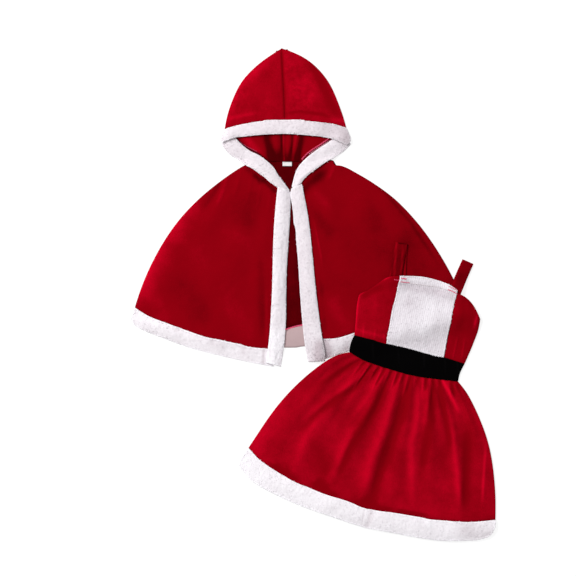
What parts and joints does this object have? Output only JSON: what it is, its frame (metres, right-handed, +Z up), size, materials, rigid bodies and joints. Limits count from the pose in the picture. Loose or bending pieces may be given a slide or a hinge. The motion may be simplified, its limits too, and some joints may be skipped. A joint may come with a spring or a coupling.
{
  "type": "hooded baby cape and pinafore dress set, laid flat",
  "caption": "Red velvet hooded cape with white plush edges, laid flat with its front open, and a strapped pinafore dress with a black waist band across its lower right.",
  "frame": {"origin": "on the table, at the middle of the laid set's bounding box", "axes": "+Z up from the table, +Y towards the hood's peak, +X to the right as the set is seen from above"},
  "size_m": [0.6188, 0.835, 0.0184],
  "materials": {
    "velvet_red": "short-pile red velvet with a soft sheen",
    "plush_white": "short curly white plush",
    "velvet_black": "short-pile black velvet",
    "label_white": "woven white label tape, blank"
  },
  "bodies": {
    "root": {"cape_back": "velvet_red", "cape_front_left": "velvet_red", "cape_front_right": "velvet_red", "cape_hem_back": "plush_white", "cape_hem_left": "plush_white", "cape_hem_right": "plush_white", "cape_trim_left": "plush_white", "cape_trim_right": "plush_white", "cape_label": "label_white", "hood_left": "velvet_red", "hood_right": "velvet_red", "hood_trim_top": "plush_white", "hood_trim_left": "plush_white", "hood_trim_right": "plush_white", "bodice_back": "velvet_red", "bodice_front_left": "velvet_red", "bodice_front_centre": "plush_white", "bodice_front_right": "velvet_red", "strap_left": "velvet_red", "strap_right": "velvet_red", "belt_front": "velvet_black", "belt_back": "velvet_black", "skirt_front": "velvet_red", "skirt_back": "velvet_red", "skirt_hem_front": "plush_white", "skirt_hem_back": "plush_white"}
  },
  "joints": []
}
